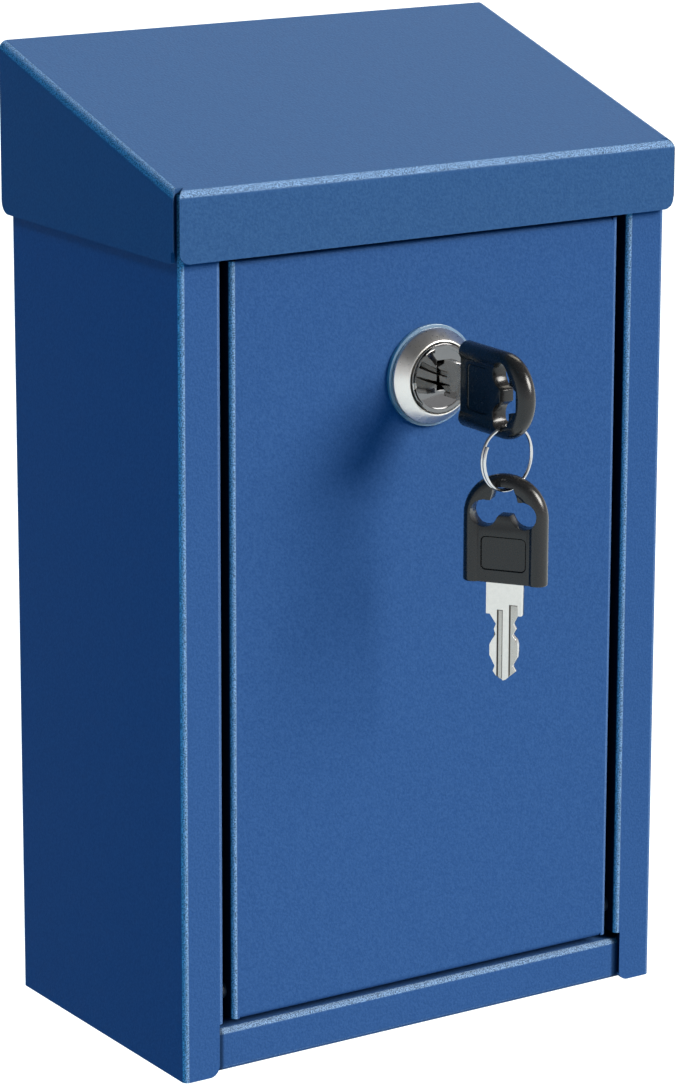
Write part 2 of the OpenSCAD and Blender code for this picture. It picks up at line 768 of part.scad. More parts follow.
module hinge_rivet(side) {
  inner = door_half_w - sheet - end_fit;
  outer = opening_half_w + sheet;
  color([0.72, 0.73, 0.75]) place() translate([0, hinge_in, hinge_h]) rotate([0, side * 90, 0]) {
    translate([0, 0, inner - rivet_head_t]) cylinder(h = rivet_head_t, r = rivet_head_r);
    translate([0, 0, inner - rivet_head_t / 2]) cylinder(h = outer - inner + rivet_head_t, r = rivet_r);
    translate([0, 0, outer]) cylinder(h = rivet_head_t, r = rivet_head_r * 0.85);
  }
}

module hinge_spacer(side) {
  color([0.09, 0.11, 0.17]) place() translate([0, hinge_in, hinge_h]) rotate([0, side * 90, 0])
    translate([0, 0, door_half_w + end_fit]) difference() {
      cylinder(h = door_gap - end_fit, r = spacer_r);
      translate([0, 0, -past]) cylinder(h = door_gap + 2 * past, r = rivet_r + seat_fit);
    }
}

// ---------- Lock ----------

module lock_gasket() {
  color([0.72, 0.80, 0.88, 0.5]) place() at_lock(bezel_back) difference() {
    cylinder(h = gasket_t, r = gasket_r);
    translate([0, 0, -past]) cylinder(h = gasket_t + 2 * past, r = barrel_r + seat_fit);
  }
}

// Wedge about the lock's axis, between two angles counted clockwise from the right
module wedge(a0, a1, r, h) {
  linear_extrude(h) polygon(concat([[0, 0]], [for (i = [0 : 6]) r * [cos(a0 + (a1 - a0) * i / 6), sin(a0 + (a1 - a0) * i / 6)]]));
}

module lock_housing() {
  pocket_r = plug_head_r + plug_groove;
  spread = lug_half_a + lug_play_a;
  color([0.80, 0.80, 0.81]) place() at_lock() difference() {
    rotate_extrude() polygon([
      [bore_r, plug_neck + end_fit],
      [pocket_r, plug_neck + end_fit],
      [pocket_r, bezel_front],
      [bezel_rim_r, bezel_front],
      [bezel_r, bezel_back - bezel_edge],
      [bezel_r, bezel_back],
      [barrel_r, bezel_back],
      [barrel_r, barrel_l],
      [bore_r, barrel_l]
    ]);
    // Flats along the barrel
    for (x = [-1, 1]) {
      translate([x > 0 ? barrel_flats / 2 : -2 * barrel_r, -2 * barrel_r, bezel_back])
        cube([2 * barrel_r - barrel_flats / 2, 4 * barrel_r, barrel_l + gasket_t + past]);
    }
    // Quarter cut out of the end, where the stop washer's lug travels
    translate([0, 0, barrel_l - lug_l]) wedge(90 - spread, 90 + key_turn + spread, 3 * barrel_r, lug_l + past);
  }
}

module lock_tooth_washer() {
  in_r = barrel_r + seat_fit;
  over = 0.6;
  out_r = nut_af / 2 + over;
  notch = 0.9;
  color([0.70, 0.71, 0.73]) place() at_lock(sheet) difference() {
    cylinder(h = tooth_washer_t, r = out_r);
    translate([0, 0, -past]) cylinder(h = tooth_washer_t + 2 * past, r = in_r);
    for (i = [0 : tooth_n - 1]) {
      rotate(i * 360 / tooth_n) translate([out_r - notch, -notch / 2, -past]) cube([2 * notch, notch, tooth_washer_t + 2 * past]);
    }
  }
}

module lock_nut() {
  color([0.74, 0.75, 0.77]) place() at_lock(sheet + tooth_washer_t) difference() {
    cylinder(h = nut_t, r = nut_af / 2 / cos(30), $fn = 6);
    translate([0, 0, -past]) cylinder(h = nut_t + 2 * past, r = barrel_r + seat_fit);
  }
}

// Space for the key's blade, between two depths
module keyway(s0, s1) {
  translate([-blade_t / 2 - key_fit, -key_up - blade_w / 2 - key_fit, s0])
    cube([blade_t + 2 * key_fit, blade_w + 2 * key_fit, s1 - s0]);
}

module lock_plug() {
  color([0.62, 0.62, 0.64]) place() at_lock() difference() {
    union() {
      translate([0, 0, plug_front]) cylinder(h = plug_head_t, r = plug_head_r);
      translate([0, 0, plug_neck - past]) cylinder(h = barrel_l + end_fit / 2 - plug_neck + past, r = plug_r);
      translate([-tail_w / 2, -tail_w / 2, barrel_l - past]) cube([tail_w, tail_w, tail_end - barrel_l + past]);
    }
    // Dish inside the rim, where the key's shoulder stops
    translate([0, 0, plug_front - past]) cylinder(h = plug_dish + past, r = plug_head_r - plug_rim_w);
    keyway(plug_front, keyway_end);
    // Slots for the wafers, right through from top to bottom
    at_wafers() translate([-wafer_w / 2 - key_fit, -plug_r - past, -wafer_t / 2 - key_fit])
      cube([wafer_w + 2 * key_fit, 2 * plug_r + 2 * past, wafer_t + 2 * key_fit]);
    // Hole for the cam screw
    translate([0, 0, cam_back - screw_l - past]) cylinder(h = screw_l + 2 * past, r = screw_r + seat_fit);
  }
}

module at_wafers() {
  for (i = [0 : wafer_n - 1]) {
    translate([0, 0, wafer_first + i * wafer_pitch]) children();
  }
}

module lock_wafers() {
  color([0.80, 0.66, 0.36]) place() at_lock() at_wafers() translate([0, 0, -wafer_t / 2]) difference() {
    intersection() {
      cylinder(h = wafer_t, r = plug_r - run_fit);
      translate([-wafer_w / 2, -plug_r, 0]) cube([wafer_w, 2 * plug_r, wafer_t]);
    }
    keyway(-past, wafer_t + past);
  }
}

// Square hole that fits the plug's tail
module tail_hole(h) {
  w = tail_w + 2 * seat_fit;
  translate([-w / 2, -w / 2, -past]) cube([w, w, h + 2 * past]);
}

module lock_stop_washer() {
  color([0.70, 0.71, 0.73]) place() at_lock(stop_front) difference() {
    union() {
      cylinder(h = stop_t, r = barrel_r - 0.6);
      // Lug that runs in the cut-out of the barrel
      translate([0, 0, end_fit - lug_l]) intersection() {
        wedge(90 - lug_half_a, 90 + lug_half_a, 2 * barrel_r, lug_l - end_fit + stop_t / 2);
        difference() {
          cylinder(h = 2 * lug_l, r = barrel_r - 0.6);
          translate([0, 0, -past]) cylinder(h = 2 * lug_l + 2 * past, r = lug_in_r);
        }
      }
    }
    tail_hole(stop_t);
  }
}

module lock_cam() {
  color([0.72, 0.73, 0.75]) place() at_lock(cam_front) difference() {
    union() {
      cylinder(h = cam_t, r = cam_hub_r);
      translate([-cam_l + cam_tip_r, -cam_tip_r, 0]) cube([cam_l - cam_tip_r, 2 * cam_tip_r, cam_t]);
      translate([-cam_l + cam_tip_r, 0, 0]) cylinder(h = cam_t, r = cam_tip_r);
    }
    tail_hole(cam_t);
  }
}

module cam_screw() {
  color([0.78, 0.78, 0.79]) place() at_lock(cam_back) difference() {
    union() {
      cylinder(h = screw_head_h, r = screw_head_r);
      translate([0, 0, -screw_l]) cylinder(h = screw_l + screw_head_h / 2, r = screw_r);
    }
    // Cross recess
    for (a = [0, 90]) {
      rotate(a) translate([-screw_head_r / 2, -0.4, screw_head_h - 1]) cube([screw_head_r, 0.8, 1 + past]);
    }
  }
}

// ---------- Keys ----------

module head_hole() {
  lobe_top = lobe_v + lobe_r * 0.98;
  for (u = [-lobe_u, lobe_u]) {
    translate([u, lobe_v]) circle(r = lobe_r);
  }
  polygon([
    [-lobe_u, lobe_top],
    [-crown_w / 2 - crown_flare, lobe_top],
    [-crown_w / 2, crown_v],
    [crown_w / 2, crown_v],
    [crown_w / 2 + crown_flare, lobe_top],
    [lobe_u, lobe_top],
    [lobe_u / 2, lobe_v - lobe_r * 0.6],
    [tongue_w / 2, tongue_v],
    [-tongue_w / 2, tongue_v],
    [-lobe_u / 2, lobe_v - lobe_r * 0.6]
  ]);
}

// Rectangle with rounded corners, standing on the middle of its lower edge
module round_rect(w, h, r) {
  bar(-w / 2 + r, 0, w / 2 - r, h);
  bar(-w / 2, r, w / 2, h - r);
  for (x = [-1, 1], y = [r, h - r]) {
    translate([x * (w / 2 - r), y]) circle(r = r);
  }
}

module tang(fit) {
  translate([-shoulder_w / 2 - fit, -past, -blade_t / 2 - fit]) cube([shoulder_w + 2 * fit, tang_l + past + fit, blade_t + 2 * fit]);
}

// Moulded head: a flat web with a round bead along its sides and arch
module key_head_form() {
  bead_u = arch_r - head_bead_r;
  difference() {
    union() {
      translate([0, 0, -head_web / 2]) linear_extrude(head_web) {
        bar(-bead_u, 0, bead_u, arch_v);
        intersection() {
          translate([0, arch_v]) circle(r = bead_u);
          bar(-bead_u, arch_v - past, bead_u, head_l);
        }
      }
      for (u = [-bead_u, bead_u]) {
        translate([u, 0, 0]) rotate([-90, 0, 0]) cylinder(h = arch_v, r = head_bead_r);
      }
      translate([0, arch_v, 0]) rotate_extrude(angle = 180) translate([bead_u, 0]) circle(r = head_bead_r);
    }
    translate([0, 0, -head_bead_r - past]) linear_extrude(2 * head_bead_r + 2 * past) head_hole();
    tang(seat_fit);
    for (side = [-1, 1]) {
      translate([0, panel_v, side > 0 ? head_web / 2 - panel_dip : -head_web / 2 - past])
        linear_extrude(panel_dip + past) round_rect(panel_w, panel_h, panel_r);
    }
  }
}

// One edge of the blade, from the shoulder to the tip
function edge_points(side, cuts) = [
  for (i = [0 : len(cuts) - 1])
    [side * (blade_w / 2 - cuts[i]), -(shoulder_l + cut_first + i * cut_pitch)]
];

function flipped(list) = [for (i = [len(list) - 1 : -1 : 0]) list[i]];

module key_blade_form() {
  blade_end = -(shoulder_l + blade_l);
  groove_l = blade_l + shoulder_l / 3;
  difference() {
    union() {
      translate([0, 0, -blade_t / 2]) linear_extrude(blade_t) polygon(concat(
        [[-shoulder_w / 2, 0], [-shoulder_w / 2, -shoulder_l], [-blade_w / 2, -shoulder_l]],
        edge_points(-1, cuts_a),
        [[-tip_w, blade_end + tip_l], [0, blade_end], [tip_w / 2, blade_end + tip_l / 2]],
        flipped(edge_points(1, cuts_b)),
        [[blade_w / 2, -shoulder_l], [shoulder_w / 2, -shoulder_l], [shoulder_w / 2, 0]]
      ));
      intersection() {
        tang(0);
        translate([-head_w, -seat_fit, -head_w]) cube([2 * head_w, 2 * head_l, 2 * head_w]);
      }
    }
    // A narrow and a wide groove along each face
    for (side = [0, 180]) {
      rotate([0, side, 0]) {
        translate([-groove_off - groove_w, blade_end - past, blade_t / 2 - groove_dip])
          cube([groove_w, groove_l - groove_w + past, groove_dip + past]);
        translate([groove_step, blade_end - past, blade_t / 2 - groove_dip])
          cube([blade_w / 2 - groove_step + seat_fit, groove_l + past, groove_dip + past]);
      }
    }
  }
}

// The key in the lock: its plane is upright and square to the door
module at_key() {
  translate([0, door_inset + key_base, lock_h + key_up]) rotate([180, -90, 0]) children();
}

// The spare key: it hangs from the ring with its blade down
module at_spare() {
  translate([0, ring_d, spare_h]) rotate([90, 0, -spare_turn]) children();
}

module key_head() {
  color([0.07, 0.07, 0.08]) place() at_key() key_head_form();
}

module key_blade() {
  color([0.82, 0.81, 0.79]) place() at_key() key_blade_form();
}

module spare_key_head() {
  color([0.07, 0.07, 0.08]) place() at_spare() key_head_form();
}

module spare_key_blade() {
  color([0.82, 0.81, 0.79]) place() at_spare() key_blade_form();
}

// ---------- Split ring ----------

// The wire makes one turn and a part of the next, which lie side by side. It steps
// across from one to the other over a short stretch where it is single.
step_from = 300;
step_to = 355;
ring_sweep = 360 + ring_lap;
ring_steps = 50;
wire_sides = 8;
function smooth(t) = t <= 0 ? 0 : t >= 1 ? 1 : t * t * (3 - 2 * t);
function ring_offset(a) = (wire_t + wire_gap) * (smooth((a - step_from) / (step_to - step_from)) - 0.5);
function wire_point(a, k) =
  let (b = 360 * (k + 0.5) / wire_sides)
  let (r = ring_r + wire_w / 2 / cos(180 / wire_sides) * cos(b))
  let (y = ring_offset(a) + wire_t / 2 / cos(180 / wire_sides) * sin(b))
  [r * cos(ring_start + a), y, r * sin(ring_start + a)];

module split_ring() {
  rows = [for (i = [0 : ring_steps]) [for (k = [0 : wire_sides - 1]) wire_point(ring_sweep * i / ring_steps, k)]];
  last = ring_steps * wire_sides;
  color([0.80, 0.80, 0.81]) place() translate([0, ring_d, ring_h]) rotate([0, 0, ring_turn]) polyhedron(
    points = [for (row = rows, p = row) p],
    faces = concat(
      [[for (k = [0 : wire_sides - 1]) k]],
      [for (i = [0 : ring_steps - 1], k = [0 : wire_sides - 1])
        let (n = (k + 1) % wire_sides)
        [i * wire_sides + k, (i + 1) * wire_sides + k, (i + 1) * wire_sides + n, i * wire_sides + n]],
      [[for (k = [wire_sides - 1 : -1 : 0]) last + k]]
    )
  );
}

body_shell();
bottom_pan();
slot_plate();
catch_plate();
lid_cover();
lid_ear(-1);  // lid_ear_left
lid_ear(1);  // lid_ear_right
lid_hinge_rod();
door_panel();
hinge_rivet(-1);  // hinge_rivet_left
hinge_rivet(1);  // hinge_rivet_right
hinge_spacer(-1);  // hinge_spacer_left
hinge_spacer(1);  // hinge_spacer_right
lock_gasket();
lock_housing();
lock_tooth_washer();
lock_nut();
lock_plug();
lock_wafers();
lock_stop_washer();
lock_cam();
cam_screw();
key_head();
key_blade();
split_ring();
spare_key_head();
spare_key_blade();
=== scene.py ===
# %% [markdown]
# # A folded steel mailbox with a drop lid, a hinged door and a keyed lock
#
# The box is a wall-mounted letter box made of 1 mm sheet steel. A lid drops over the slot at the
# top, a flat door in the front swings down, and a small cam lock with two keys on a split ring
# holds the door shut. Every sheet-metal part already comes with its true shape, so this lesson
# is about what turns a shape into an object: a powder coat with its sandy skin, satin chrome,
# cut brass, moulded plastic, and the few small parts that want rounder forms than plain solids.
#
# The first cell loads the parts of the fixed frame and the way to hang each on the body it moves
# with.

# %% Load the frame
import math

import bpy
from mathutils import Matrix, Vector


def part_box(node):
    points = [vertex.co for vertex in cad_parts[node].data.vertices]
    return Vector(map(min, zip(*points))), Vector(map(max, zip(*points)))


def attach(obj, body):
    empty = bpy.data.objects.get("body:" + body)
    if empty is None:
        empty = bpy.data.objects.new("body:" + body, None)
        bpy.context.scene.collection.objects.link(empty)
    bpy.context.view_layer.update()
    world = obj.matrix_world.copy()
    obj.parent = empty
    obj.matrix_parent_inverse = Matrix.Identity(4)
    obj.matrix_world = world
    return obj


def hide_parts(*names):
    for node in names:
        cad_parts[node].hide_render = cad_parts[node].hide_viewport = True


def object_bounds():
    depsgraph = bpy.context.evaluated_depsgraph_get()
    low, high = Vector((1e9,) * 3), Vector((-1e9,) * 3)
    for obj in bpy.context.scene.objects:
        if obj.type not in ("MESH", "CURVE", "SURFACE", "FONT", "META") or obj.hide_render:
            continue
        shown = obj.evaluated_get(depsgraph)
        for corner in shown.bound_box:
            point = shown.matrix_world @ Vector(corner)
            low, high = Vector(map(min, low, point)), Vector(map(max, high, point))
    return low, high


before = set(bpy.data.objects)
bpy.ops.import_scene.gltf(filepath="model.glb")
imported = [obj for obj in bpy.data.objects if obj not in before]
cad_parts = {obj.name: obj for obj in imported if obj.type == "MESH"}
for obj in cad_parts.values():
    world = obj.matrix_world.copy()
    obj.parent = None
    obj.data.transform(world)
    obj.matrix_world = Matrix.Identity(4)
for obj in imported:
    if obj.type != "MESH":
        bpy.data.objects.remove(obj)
scene = bpy.context.scene
scene.view_settings.view_transform = "Standard"
MM = 0.001  # one millimetre in scene units
cad_low, cad_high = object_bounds()
print("box in mm:", [round((b - a) / MM, 1) for a, b in zip(cad_low, cad_high)])

# %% [markdown]
# ## The camera
#
# A camera is a point, a direction and a lens. The box is seen from its left, a little from above,
# through a long lens, so its upright edges stay almost parallel. A product photographer keeps them
# so by sliding the back of the camera instead of tilting it, and a small vertical shift does the
# same here. Two axes of the camera are written down, forward and to the right, and the third one,
# up, is square to both.

# %% Place the camera
camera_place = Vector((-0.506039, -0.818038, 0.243530))
camera_forward = Vector((0.531345, 0.815530, -0.229310))
camera_right = Vector((0.838150, -0.545436, 0.002302))
focal_pixels = 4102.47
rise_pixels = -93.5
picture_size = (679, 1087)
camera_data = bpy.data.cameras.new("camera")
camera_data.sensor_width = 36.0
camera_data.lens = focal_pixels * camera_data.sensor_width / max(picture_size)
camera_data.shift_y = rise_pixels / max(picture_size)
camera_data.clip_start, camera_data.clip_end = 0.05, 60.0
camera = bpy.data.objects.new("camera", camera_data)
scene.collection.objects.link(camera)
camera_up = camera_right.cross(camera_forward).normalized()
camera.matrix_world = Matrix.Translation(camera_place) @ Matrix((
    camera_right.normalized(), camera_up, -camera_forward.normalized())).transposed().to_4x4()
scene.camera = camera
print("lens in mm:", round(camera_data.lens, 1), "shift:", round(camera_data.shift_y, 3))

# %% [markdown]
# ## Floor and light
#
# The box hangs on a wall, so the floor is a plain pale sheet 15 cm below it, which also leaves the
# door room to drop. A dome gives every side some light, bluish as shade is. The floor and the dome
# have two colours each: a dim one that surfaces are lit by, and a bright one that is seen,
# mirrored or seen through. The Light Path node says which kind of ray asks.

# %% Helpers for the studio
def clear_selection():
    """Leave edit mode and select nothing, because an operator acts on all that is selected."""
    if bpy.context.mode != "OBJECT":
        bpy.ops.object.mode_set(mode="OBJECT")
    bpy.ops.object.select_all(action="DESELECT")


def link_seen_colour(tree, unseen, seen, socket):
    """Fill `socket` with one colour for light that bounces and one for what is seen or mirrored.

    The node that chooses is returned, so that its colours can still be changed.
    """
    path = tree.nodes.new("ShaderNodeLightPath")
    factor = path.outputs["Is Camera Ray"]
    for output in ("Is Glossy Ray", "Is Transmission Ray"):
        either = tree.nodes.new("ShaderNodeMath")
        either.operation = "MAXIMUM"
        tree.links.new(factor, either.inputs[0])
        tree.links.new(path.outputs[output], either.inputs[1])
        factor = either.outputs[0]
    choice = tree.nodes.new("ShaderNodeMix")
    choice.data_type = "RGBA"
    choice.inputs["A"].default_value = unseen
    choice.inputs["B"].default_value = seen
    tree.links.new(factor, choice.inputs["Factor"])
    tree.links.new(choice.outputs["Result"], socket)
    return choice


# %% Floor and dome
FLOOR_SIZE, FLOOR_BACK, FLOOR_DROP = 24.0, 4.0, 150 * MM
FLOOR_SHADE, FLOOR_SEEN = (0.07, 0.29, 0.45, 1.0), (0.92, 0.88, 0.84, 1.0)
FLOOR_DARK, FLOOR_GLOW = (0.0, 0.0, 0.0, 1.0), (0.25, 0.20, 0.16, 1.0)
DOME_SHADE, DOME_WHITE = (0.050, 0.185, 0.275, 1.0), (0.92, 0.92, 0.92, 1.0)

clear_selection()
floor_place = (0.0, FLOOR_BACK, cad_low[2] - FLOOR_DROP)
bpy.ops.mesh.primitive_plane_add(size=FLOOR_SIZE, location=floor_place)
floor = bpy.context.object
floor.name = "studio_floor"
bpy.ops.object.transform_apply(location=True, rotation=True, scale=True)
floor_paint = bpy.data.materials.new("studio_floor_paint")
floor_paint.use_nodes = True
floor_tree = floor_paint.node_tree
floor_shader = floor_tree.nodes["Principled BSDF"]
link_seen_colour(floor_tree, FLOOR_SHADE, FLOOR_SEEN, floor_shader.inputs["Base Color"])
link_seen_colour(floor_tree, FLOOR_DARK, FLOOR_GLOW, floor_shader.inputs["Emission Color"])
floor_shader.inputs["Emission Strength"].default_value = 1.0
floor_shader.inputs["Roughness"].default_value = 0.9
floor_shader.inputs["Specular IOR Level"].default_value = 0.0
floor.data.materials.append(floor_paint)

dome = bpy.data.worlds.new("studio_dome")
scene.world = dome
dome.use_nodes = True
dome_light = dome.node_tree.nodes["Background"]
dome_choice = link_seen_colour(dome.node_tree, DOME_SHADE, DOME_WHITE, dome_light.inputs["Color"])
print("floor at", round(floor.data.vertices[0].co.z / MM, 1), "mm, dome:", dome.name)

# %% [markdown]
# ## What polished metal mirrors
#
# Chrome and glossy black plastic have almost no colour of their own: they show the room. A room
# that is white all round makes them look flat and grey. Here the dome darkens upwards for mirrored
# rays alone, like a dark ceiling above bright walls, so that curved metal gets its light and dark
# bands. Nothing that is seen directly changes, and no surface gets less light.

# %% Dark ceiling for mirrored rays
CEILING_DARK = (0.03, 0.03, 0.03, 1.0)
CEILING_START, CEILING_FULL = 0.10, 0.65  # how far a ray rises, 1 being straight up
CEILING_SHARE = 0.9


def dark_ceiling(tree, socket):
    """Fill `socket` with the dome's white, darkening upwards where the ray is a mirrored one."""
    direction = tree.nodes.new("ShaderNodeTexCoord")
    rise = tree.nodes.new("ShaderNodeSeparateXYZ")
    tree.links.new(direction.outputs["Generated"], rise.inputs[0])
    ceiling = tree.nodes.new("ShaderNodeMapRange")
    ceiling.inputs["From Min"].default_value = CEILING_START
    ceiling.inputs["From Max"].default_value = CEILING_FULL
    ceiling.inputs["To Max"].default_value = CEILING_SHARE
    tree.links.new(rise.outputs["Z"], ceiling.inputs["Value"])
    mirrored = tree.nodes.new("ShaderNodeMath")
    mirrored.operation = "MULTIPLY"
    tree.links.new(ceiling.outputs["Result"], mirrored.inputs[0])
    path = tree.nodes.new("ShaderNodeLightPath")
    tree.links.new(path.outputs["Is Glossy Ray"], mirrored.inputs[1])
    sky = tree.nodes.new("ShaderNodeMix")
    sky.data_type = "RGBA"
    sky.inputs["A"].default_value = DOME_WHITE
    sky.inputs["B"].default_value = CEILING_DARK
    tree.links.new(mirrored.outputs[0], sky.inputs["Factor"])
    tree.links.new(sky.outputs["Result"], socket)


dark_ceiling(dome.node_tree, dome_choice.inputs["B"])
print("dome nodes:", len(dome.node_tree.nodes))

# %% [markdown]
# ## Lamps
#
# Each lamp is a sun with a wide disc, so its shadows are soft. The big one stands on the right and
# leaves the left side darker. A smaller one on the left draws the shadow under the lid's skirt. It
# is blue, as shade is, and is left out of mirrors, because it would show as a coloured spot on the
# chrome. One behind lights the lid's top. The strengths are set so that a face turned to the big
# sun shows its colour about as it is written.

# %% Three soft suns
def soft_sun(name, towards, strength, disc, colour):
    """A sun that stands in the direction `towards`, as seen from the box, `disc` degrees wide."""
    data = bpy.data.lights.new(name, "SUN")
    data.energy = strength
    data.angle = math.radians(disc)
    data.color = colour
    lamp = bpy.data.objects.new(name, data)
    scene.collection.objects.link(lamp)
    lamp.rotation_mode = "QUATERNION"
    lamp.rotation_quaternion = Vector(towards).normalized().to_track_quat("Z", "Y")
    return lamp


key_light = soft_sun("key_light", (0.56, -0.66, 0.50), 5.3, 30, (1.0, 0.97, 0.92))
side_light = soft_sun("side_light", (-0.58, -0.16, 0.80), 0.9, 16, (0.06, 0.55, 1.0))
side_light.visible_glossy = False
back_light = soft_sun("back_light", (0.53, 0.54, 0.65), 1.1, 34, (1.0, 0.93, 0.78))
print("lamps:", key_light.name, side_light.name, back_light.name)

# %% [markdown]
# ## Powder coat
#
# The sheet metal wears a deep blue powder coat. Powder is sprayed dry and melted in an oven, so it
# has no brush marks: it has a fine sandy skin of grains about half a millimetre wide, with a
# slow orange-peel swell under them.
# Two noises at two scales make the bump, and the same grains are a little lighter or darker,
# which keeps large faces from looking like plastic.
#
# The folds are found by the way a face looks: a flat wall looks straight along an axis and a fold
# looks in between. The paint there is paler, with a finer and stronger sparkle: a painted
# highlight for the light that a fold catches, dimmed on folds that look right or down. Two more
# masks paint shade into it: one for the walls deep in the gaps beside the door, and one for the
# seam beside the front rail.

# %% Helpers for materials
def new_material(name):
    """A material with its nodes and links at hand."""
    material = bpy.data.materials.new(name)
    material.use_nodes = True
    return material, material.node_tree.nodes, material.node_tree.links


def object_noise(nodes, links, scale, detail):
    """A noise on Object coordinates, so it stays with the piece wherever that moves."""
    place = nodes.new("ShaderNodeTexCoord")
    noise = nodes.new("ShaderNodeTexNoise")
    noise.inputs["Scale"].default_value = scale
    noise.inputs["Detail"].default_value = detail
    links.new(place.outputs["Object"], noise.inputs["Vector"])
    return noise.outputs["Fac"]


def ramp(nodes, links, source, low, high, low_at=0.3, high_at=0.7):
    """Colours between two stops of a value. A noise seldom leaves the range 0.3 to 0.7."""
    stops = nodes.new("ShaderNodeValToRGB")
    ends = zip(stops.color_ramp.elements, (low_at, high_at), (low, high))
    for element, position, colour in ends:
        element.position = position
        element.color = (*colour, 1.0)
    links.new(source, stops.inputs["Fac"])
    return stops.outputs["Color"]


def varied(nodes, links, source, value, spread):
    """A single value that a noise varies by `spread` to both sides."""
    return ramp(nodes, links, source, (value - spread,) * 3, (value + spread,) * 3)


def tinted(nodes, links, source, colour, spread):
    """A colour that a noise makes lighter and darker by the share `spread`."""
    low = tuple(max(0.0, part * (1 - spread)) for part in colour)
    high = tuple(min(1.0, part * (1 + spread)) for part in colour)
    return ramp(nodes, links, source, low, high)


def bump(nodes, links, height, depth, strength, under=None):
    """A bump of a height in metres, on top of another bump where one is given."""
    node = nodes.new("ShaderNodeBump")
    node.inputs["Distance"].default_value = depth
    node.inputs["Strength"].default_value = strength
    links.new(height, node.inputs["Height"])
    if under is not None:
        links.new(under, node.inputs["Normal"])
    return node.outputs["Normal"]


# %% Helpers for masks
def math_node(nodes, links, operation, first, second=None):
    """A Math node, whose values are numbers or sockets."""
    node = nodes.new("ShaderNodeMath")
    node.operation = operation
    for socket, value in zip(node.inputs, (first, second)):
        if value is None:
            continue
        if isinstance(value, float):
            socket.default_value = value
        else:
            links.new(value, socket)
    return node.outputs[0]


def map_range(nodes, links, source, start, end, low=0.0, high=1.0, smooth=False):
    """Turns a value that goes from `start` to `end` into one that goes from `low` to `high`."""
    node = nodes.new("ShaderNodeMapRange")
    if smooth:
        node.interpolation_type = "SMOOTHSTEP"
    for name, value in (("From Min", start), ("From Max", end), ("To Min", low), ("To Max", high)):
        node.inputs[name].default_value = value
    links.new(source, node.inputs["Value"])
    return node.outputs["Result"]


def split(nodes, links, vector):
    """The X, Y and Z of a vector."""
    node = nodes.new("ShaderNodeSeparateXYZ")
    links.new(vector, node.inputs[0])
    return node.outputs


def blend(nodes, links, factor, under, over):
    """Lays the colour `over` on the colour `under` where the mask is 1."""
    node = nodes.new("ShaderNodeMix")
    node.data_type = "RGBA"
    links.new(factor, node.inputs["Factor"])
    links.new(under, node.inputs["A"])
    if isinstance(over, tuple):
        node.inputs["B"].default_value = over
    else:
        links.new(over, node.inputs["B"])
    return node.outputs["Result"]


# %% Find the folds, the gaps and the seam
# The pale folds are a painted highlight, which fades to DIMMED on folds that look right or down
FOLD_START, FOLD_FULL = 0.9992, 0.955  # the largest part of the normal, 1 on a flat face
RIGHT_START, RIGHT_FULL = 0.05, 0.35  # how far a fold looks to the right before it dims
DOWN_FULL, DOWN_START = -0.35, -0.05  # and how far it looks down
DIMMED = 0.12
# Painted shade goes on the walls deep in the gaps beside the door
WALL_START, WALL_FULL = 0.90, 0.99  # how straight sideways the wall of a gap looks
# Painted shade along the seam between the pan and the flanges
SEAM_BEFORE, SEAM_AFTER, SEAM_SHARE = 0.5 * MM, 0.2 * MM, 0.75


def fold_highlight_mask(nodes, links, top_normal, upright_only):
    """Where the painted highlight lies: 0 on flat faces, up to 1 in the middle of a fold, dimmed
    where it looks right or down.
    """
    place = nodes.new("ShaderNodeTexCoord")

    def leaning(axis):
        lean = nodes.new("ShaderNodeVectorMath")
        lean.operation = "DOT_PRODUCT"
        lean.inputs[1].default_value = axis
        links.new(place.outputs["Normal"], lean.inputs[0])
        return math_node(nodes, links, "ABSOLUTE", lean.outputs["Value"])

    sideways = leaning((1.0, 0.0, 0.0))
    if upright_only:
        square = math_node(nodes, links, "MULTIPLY", sideways, sideways)
        others = [math_node(nodes, links, "SQRT", math_node(nodes, links, "SUBTRACT", 1.0, square))]
    else:
        others = [leaning((0.0, 1.0, 0.0)), leaning(top_normal), leaning((0.0, 0.0, 1.0))]
    largest = sideways
    for other in others:
        largest = math_node(nodes, links, "MAXIMUM", largest, other)
    mask = map_range(nodes, links, largest, FOLD_START, FOLD_FULL, smooth=True)
    turn = split(nodes, links, place.outputs["Normal"])
    to_the_right = map_range(nodes, links, turn["X"], RIGHT_START, RIGHT_FULL, 1.0, DIMMED)
    downwards = map_range(nodes, links, turn["Z"], DOWN_FULL, DOWN_START, DIMMED, 1.0)
    lit = math_node(nodes, links, "MULTIPLY", to_the_right, downwards)
    return math_node(nodes, links, "MULTIPLY", mask, lit)


def gap_shade_mask(nodes, links, reach):
    """Painted shade: 1 on the faces that look sideways within `reach` of the middle, where gaps are
    deep.
    """
    place = nodes.new("ShaderNodeTexCoord")
    spot = split(nodes, links, place.outputs["Object"])
    turn = split(nodes, links, place.outputs["Normal"])
    lean = math_node(nodes, links, "ABSOLUTE", turn["X"])
    sideways = map_range(nodes, links, lean, WALL_START, WALL_FULL)
    distance = math_node(nodes, links, "ABSOLUTE", spot["X"])
    inside = math_node(nodes, links, "LESS_THAN", distance, reach)
    return math_node(nodes, links, "MULTIPLY", sideways, inside)


def seam_shade_mask(nodes, links, seam):
    """Painted shade: rises over the last half millimetre before the seam at x = plus or minus
    `seam`.
    """
    place = nodes.new("ShaderNodeTexCoord")
    spot = split(nodes, links, place.outputs["Object"])
    distance = math_node(nodes, links, "ABSOLUTE", spot["X"])
    return map_range(nodes, links, distance, seam - SEAM_BEFORE, seam + SEAM_AFTER, 0.0, SEAM_SHARE)


